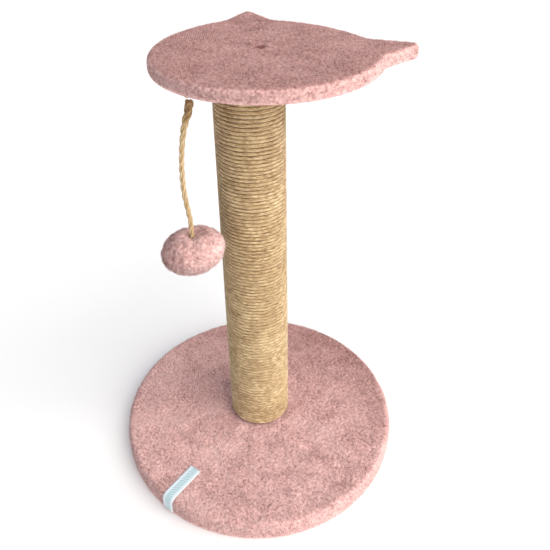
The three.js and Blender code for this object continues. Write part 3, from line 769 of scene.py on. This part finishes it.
head_cloth = even_disc(2, 5)
lay_over(head_cloth, head_rings)
raise_pile(head_cloth, head_pile, head_clump, press_head, head_painted_shade)


def under_outline(inset, height):
    """Places a corner inside the platform's outline, by its angle."""
    def ring(place):
        angle = math.atan2(place.y - head_centre[1], place.x - head_centre[0]) / (2 * math.pi) % 1
        at = angle * len(head_outline)
        before = int(at) % len(head_outline)
        edge = Vector(head_outline[before]).lerp(
            Vector(head_outline[(before + 1) % len(head_outline)]), at - int(at))
        out = edge - Vector(head_centre)
        out *= 1 - inset / out.length
        return Vector((head_centre[0] + out.x, head_centre[1] + out.y, height))
    return ring


close_inside(head_cloth, [
    on_circle(head_hem_edge, head_bottom + head_hem, head_centre),
    under_outline(cloth, head_bottom + head_hem),
    under_outline(cloth, head_board_top),
    on_circle(0.03, head_board_top, head_centre),
])
head_plush = as_piece("head_plush", head_cloth, dusty_pink_plush, "stand", ["head_cover"])

# --------------------------------------------------------------------------------------------
# Ball
# --------------------------------------------------------------------------------------------
# A plush bag stuffed with loose fibre and gathered round the cord, which leaves a dimple at
# the top, a crease between two swollen halves, and one half a little higher.
ball_centre = Vector((-0.0101, -0.0864, 0.338))
ball_half_width = 0.0332
ball_half_height = 0.0255
ball_dimple = 0.008
ball_dimple_width = 0.0105
ball_half_swell = 0.075
ball_half_angle = math.radians(49)
ball_lean = 0.11
ball_crease = 0.16
ball_neck = 0.0029                 # radius of the cloth's mouth, round the cord
ball_wall = 0.0015
ball_pile = 0.0032
ball_clump = 0.0044


def ball_shape(way, inset=0):
    """The place on the stuffed ball that lies in a direction from its middle."""
    rise = way.z
    radius = (ball_half_width - inset) * math.hypot(way.x, way.y)
    height = (ball_half_height - inset) * rise
    if rise > 0:
        height -= ball_dimple * math.exp(-((radius / ball_dimple_width) ** 2))
    around = math.atan2(way.y, way.x)
    away = around - ball_half_angle
    share = min(1, radius / ball_half_width)
    lean = ball_lean * radius * share * math.cos(away)
    upper = max(0, height / ball_half_height)
    sunk = ball_crease * upper * radius * (1 - share) * math.sin(away) ** 2
    swell = 1 + ball_half_swell * share * math.cos(2 * away)
    return Vector((radius * swell * math.cos(around), radius * swell * math.sin(around),
                   height + lean - sunk))


def press_ball(place, normal):
    """The cloth is pleated where it is gathered, and folded in where the two halves meet."""
    local = place - ball_centre
    radius = math.hypot(local.x, local.y)
    gather = math.exp(-((radius / 0.009) ** 2)) if local.z > 0 else 0
    pleat = 0.0006 * gather * math.cos(11 * math.atan2(local.y, local.x))
    seam = math.sin(math.atan2(local.y, local.x) - ball_half_angle) ** 40 * (local.z > 0)
    fold = 0.0012 * seam * min(1, radius / 0.008)
    return normal * (pleat - fold), 1 - 0.6 * gather


def ball_painted_light_and_shade(place, normal):
    """Painted light and shade: lighter on the side that faces +X, towards the lamp, darker on the
    side that faces -X.
    """
    return -0.08 - 0.2 * normal.x


ball_bag = bmesh.new()
bmesh.ops.create_icosphere(ball_bag, subdivisions=6, radius=1)
mouth = [v for v in ball_bag.verts
         if v.co.z > 0 and ball_half_width * math.hypot(v.co.x, v.co.y) < ball_neck]
bmesh.ops.delete(ball_bag, geom=mouth, context="VERTS")
for vert in ball_bag.verts:
    vert.co = ball_centre + ball_shape(vert.co)
raise_pile(ball_bag, ball_pile, ball_clump, press_ball, ball_painted_light_and_shade)
ball_plush = as_piece("ball_plush", ball_bag, dusty_pink_plush, "ball", ["toy_ball_cover"])
ball_lining = ball_plush.modifiers.new("cloth thickness", "SOLIDIFY")
ball_lining.thickness = ball_wall
ball_lining.offset = -1

# --------------------------------------------------------------------------------------------
# Ball filling
# --------------------------------------------------------------------------------------------
# Loose white polyester fibre, packed by hand round the end knot: matt and cloudy, with a soft
# sheen. It is lumpy, and has a pocket in it for the knot.
filling_inset = 0.0034             # inside the outer face of the cloth
filling_lump = 0.0006
pocket_radius = 0.0062
pocket_floor = -0.0060
wisp = 0.002
stuffing, stuffing_tree, stuffing_shader = new_material(
    "loose polyester fibre", Roughness=0.9, Sheen_Weight=0.4, Specular_IOR_Level=0.2,
)
stuffing_place = add_node(stuffing_tree, "ShaderNodeTexCoord").outputs["Object"]
stuffing_wisps = add_node(
    stuffing_tree, "ShaderNodeTexNoise",
    {"Vector": stuffing_place, "Scale": 1 / wisp, "Detail": 3, "Distortion": 1.5},
)
stuffing_tree.links.new(
    colour_ramp(stuffing_tree, stuffing_wisps.outputs["Fac"], [(0.3, "dcdad4"), (0.7, "f8f7f3")]),
    stuffing_shader.inputs["Base Color"],
)
ball_fill = bmesh.new()
bmesh.ops.create_icosphere(ball_fill, subdivisions=5, radius=1)
for vert in ball_fill.verts:
    off_axis = ball_half_width * math.hypot(vert.co.x, vert.co.y)
    lump = filling_lump * noise.noise(vert.co * 6)
    place = ball_shape(vert.co, filling_inset) * (1 + lump / ball_half_height)
    if vert.co.z > 0 and off_axis < pocket_radius:
        place.z = pocket_floor
    vert.co = ball_centre + place
as_piece("ball_stuffing", ball_fill, stuffing, "ball", ["toy_ball_filling"])

# --------------------------------------------------------------------------------------------
# Sisal winding
# --------------------------------------------------------------------------------------------
# About twenty-five metres of twisted sisal rope, glued to the tube in close turns from the top
# to the foot. The turns wander a little.
post_axis = Vector((0, 0.004))
rope_diameter = 0.0047
rope_radius_of_turn = 0.03765
rope_pitch = 0.00474
rope_top = 0.53325
rope_foot = 0.02825
rope_lay_length = 0.017
rope_steps = 168                   # in a turn
rope_corners = 9                   # round its section
turns_above = 52                   # in the upper of the two pieces that the winding is made in

rope_sisal = sisal_material(
    "natural sisal rope", 0.0006, 0.006,
    [(0.28, "4a351c"), (0.42, "7a5d39"), (0.53, "9f825b"), (0.62, "bba077"), (0.74, "e2cda2")],
)

section_data = bpy.data.curves.new("rope_section", "CURVE")
section_spline = section_data.splines.new("POLY")
section_spline.points.add(rope_corners - 1)
section_spline.use_cyclic_u = True
for i, spot in enumerate(section_spline.points):
    angle = 2 * math.pi * i / rope_corners
    reach = rope_diameter / 2 * (1.05 + 0.07 * math.cos(3 * angle))
    spot.co = (reach * math.cos(angle), reach * math.sin(angle), 0, 1)
rope_section = bpy.data.objects.new("rope_section", section_data)
bpy.context.scene.collection.objects.link(rope_section)


def painted_shade_between_turns(place):
    """How much painted shade the rope has: deep where it lies back between the turns, less so where
    the turns are pressed.
    """
    out = (place.xy - post_axis).length - rope_radius_of_turn
    open_gap = 0.5 + 0.5 * max(0, min(1, (place.z - 0.15) / 0.2))
    open_gap *= 1 + 0.9 * noise.noise(Vector((place.x, place.y, 2.5 * place.z)) / 0.009)
    return open_gap * max(0, min(1, 0.9 - 2 * out / rope_diameter))


def winding(name, top, foot, replaced):
    """Close turns of rope from one height down to another."""
    line = []
    first = round((rope_top - top) / rope_pitch * rope_steps)
    last = round((rope_top - foot) / rope_pitch * rope_steps)
    for i in range(first, last + 1):
        angle = 2 * math.pi * i / rope_steps
        height = rope_top - rope_pitch * i / rope_steps
        out = Vector((math.cos(angle), math.sin(angle), 0))
        drift = noise.noise(Vector((2 * out.x, 2 * out.y, height / 0.012)))
        bulge = noise.noise(Vector((3 * out.x, 3 * out.y, height / 0.0035 + 40)))
        place = out * (rope_radius_of_turn + 0.00018 * bulge)
        turn = 2 * math.pi * (i / rope_steps) * 2 * math.pi * rope_radius_of_turn / rope_lay_length
        spot = Vector((place.x + post_axis.x, place.y + post_axis.y, height + 0.0003 * drift))
        line.append((spot, 1 + 0.04 * bulge, turn))
    rope = spun_yarn(name, [line], rope_diameter, section=rope_section, upright=True)
    rope.data.materials.append(rope_sisal)
    # Painted shade where the rope lies back between its turns.
    paint_shade(rope, painted_shade_between_turns)
    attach(rope, "stand")
    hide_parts(replaced)


rope_middle = rope_top - turns_above * rope_pitch
winding("sisal_winding_upper", rope_top, rope_middle, "sisal_rope")
winding("sisal_winding_lower", rope_middle, rope_foot, "sisal_wrap_lower")
bpy.data.objects.remove(rope_section)

# --------------------------------------------------------------------------------------------
# Ribbon tab
# --------------------------------------------------------------------------------------------
# A short white satin ribbon, folded over the base's rim and caught under the cloth. It is plain
# but for a band of fine blue-green ticks, woven slantwise, between its two white edges.
ribbon_width = 0.016
ribbon_thickness = 0.0005
ribbon_start = 0.1325              # from the base's middle
ribbon_end = 0.0058                # above the floor
ribbon_way = math.atan2(-0.1843, 0.0107)
ribbon_proud = 0.0012              # above the cloth, on the tips of its pile
tick_size = 0.0052                 # coarser than the real weave, so that it shows
weft_size = 0.0008
band_edge = (0.0048, 0.0034)       # from the ribbon's middle: no ticks, all ticks

satin, satin_tree, satin_shader = new_material(
    "white satin ribbon", Roughness=0.42, Specular_IOR_Level=0.5, Sheen_Weight=0.3,
)
satin_uv = add_node(satin_tree, "ShaderNodeAttribute", attribute_name="weft").outputs["Vector"]
satin_split = add_node(satin_tree, "ShaderNodeSeparateXYZ", {0: satin_uv})
satin_side = add_node(satin_tree, "ShaderNodeMath", {0: satin_split.outputs[1]},
                      operation="ABSOLUTE")
satin_stripe = add_node(satin_tree, "ShaderNodeMapRange",
                        {"Value": satin_side.outputs[0], "From Min": band_edge[0],
                         "From Max": band_edge[1], "To Min": 0, "To Max": 0.8})
satin_ticks = add_node(satin_tree, "ShaderNodeTexWave",
                       {"Vector": satin_uv, "Scale": 1 / tick_size, "Distortion": 1.5, "Detail": 1},
                       bands_direction="DIAGONAL")
satin_band = add_node(satin_tree, "ShaderNodeMath",
                      {0: satin_stripe.outputs[0], 1: satin_ticks.outputs["Fac"]},
                      operation="MULTIPLY")
satin_weave = add_node(satin_tree, "ShaderNodeTexWave",
                       {"Vector": satin_uv, "Scale": 1 / weft_size, "Distortion": 0.4},
                       bands_direction="X")
satin_colour = add_node(
    satin_tree, "ShaderNodeMix",
    {0: satin_band.outputs[0],
     6: colour_ramp(satin_tree, satin_weave.outputs["Fac"], [(0, "c3d0d6"), (1, "dde7ec")]),
     7: linear("5ba3a6")},
    data_type="RGBA",
)
satin_tree.links.new(satin_colour.outputs[2], satin_shader.inputs["Base Color"])
satin_bump = add_node(satin_tree, "ShaderNodeBump",
                      {"Height": satin_weave.outputs["Fac"], "Strength": 0.2, "Distance": 0.0001})
satin_tree.links.new(satin_bump.outputs["Normal"], satin_shader.inputs["Normal"])

ribbon = bmesh.new()
bmesh.ops.create_grid(ribbon, x_segments=64, y_segments=12, size=0.5)
weft = ribbon.verts.layers.float_vector.new("weft")
ribbon_bend = plush_rounding + ribbon_proud
flat_run = base_radius - plush_rounding - ribbon_start
arc_run = ribbon_bend * math.pi / 2
side_run = base_top - plush_rounding - ribbon_end
ribbon_run = flat_run + arc_run + side_run
for vert in ribbon.verts:
    along = (vert.co.x + 0.5) * ribbon_run
    across = vert.co.y * ribbon_width
    vert[weft] = (along, across, 0)
    wave = 0.0005 * noise.noise(Vector((along / 0.018, across / 0.03, 7)))
    if along < flat_run:
        out, height = ribbon_start + along, base_top + ribbon_proud + wave
    elif along < flat_run + arc_run:
        bend = (along - flat_run) / ribbon_bend
        out = base_radius - plush_rounding + ribbon_bend * math.sin(bend)
        height = base_top - plush_rounding + ribbon_bend * math.cos(bend)
    else:
        out = base_radius + ribbon_proud + 0.4 * wave
        height = base_top - plush_rounding - (along - flat_run - arc_run)
    vert.co = (out, across, height)
bmesh.ops.rotate(ribbon, verts=ribbon.verts, matrix=Matrix.Rotation(ribbon_way, 3, "Z"))
ribbon_tab = as_piece("ribbon_tab", ribbon, satin, "stand", ["base_ribbon"])
ribbon_cloth = ribbon_tab.modifiers.new("ribbon thickness", "SOLIDIFY")
ribbon_cloth.thickness = ribbon_thickness
ribbon_cloth.offset = 0

# --------------------------------------------------------------------------------------------
# Card tube and its plugs
# --------------------------------------------------------------------------------------------
# The tube is wound from strips of grey-brown card, matt and faintly fibrous. The plugs in its
# ends are turned from pine, and show long grain on the side and rings on the ends.
card_fibre_size = 0.003
pine_ring = 0.012
card, card_tree, card_shader = new_material("spiral-wound card", Roughness=0.85)
card_place = add_node(card_tree, "ShaderNodeTexCoord").outputs["Object"]
card_fibre = add_node(card_tree, "ShaderNodeTexNoise",
                      {"Vector": card_place, "Scale": 1 / card_fibre_size, "Detail": 4})
card_tree.links.new(
    colour_ramp(card_tree, card_fibre.outputs["Fac"], [(0.3, "8f6f49"), (0.7, "b5946a")]),
    card_shader.inputs["Base Color"],
)
nodes["post_tube"].data.materials.clear()
nodes["post_tube"].data.materials.append(card)

pine, pine_tree, pine_shader = new_material("turned pine", Roughness=0.6)
pine_place = add_node(pine_tree, "ShaderNodeTexCoord").outputs["Object"]
pine_centre = add_node(pine_tree, "ShaderNodeMapping",
                       {"Vector": pine_place, "Location": (0.03, 0.02, 0)})
pine_rings = add_node(pine_tree, "ShaderNodeTexWave",
                      {"Vector": pine_centre.outputs[0], "Scale": 1 / pine_ring, "Distortion": 3,
                       "Detail": 2},
                      wave_type="RINGS", rings_direction="Z")
pine_tree.links.new(
    colour_ramp(pine_tree, pine_rings.outputs["Fac"], [(0.1, "c79a63"), (0.6, "e2c391")]),
    pine_shader.inputs["Base Color"],
)
for name in ("post_bottom_plug", "post_top_plug"):
    nodes[name].data.materials.clear()
    nodes[name].data.materials.append(pine)

# --------------------------------------------------------------------------------------------
# Bolt, washers, tee nut, screw, nails and staples
# --------------------------------------------------------------------------------------------
# Drawn or pressed steel, bright zinc-plated: a cool grey with small dull spots where the
# plating has been handled.
dull_spot = 0.0015
zinc, zinc_tree, zinc_shader = new_material("zinc-plated steel", Metallic=1.0)
zinc_place = add_node(zinc_tree, "ShaderNodeTexCoord").outputs["Object"]
zinc_spots = add_node(zinc_tree, "ShaderNodeTexNoise",
                      {"Vector": zinc_place, "Scale": 1 / dull_spot, "Detail": 3})
zinc_tree.links.new(
    colour_ramp(zinc_tree, zinc_spots.outputs["Fac"], [(0.3, "9b9fa3"), (0.7, "c6c9cc")]),
    zinc_shader.inputs["Base Color"],
)
zinc_dull = add_node(zinc_tree, "ShaderNodeMapRange",
                     {"Value": zinc_spots.outputs["Fac"], "To Min": 0.28, "To Max": 0.5})
zinc_tree.links.new(zinc_dull.outputs[0], zinc_shader.inputs["Roughness"])
for name, node in nodes.items():
    if any(word in name for word in ("staple", "bolt", "washer", "tee_nut", "screw", "nail")):
        node.data.materials.clear()
        node.data.materials.append(zinc)
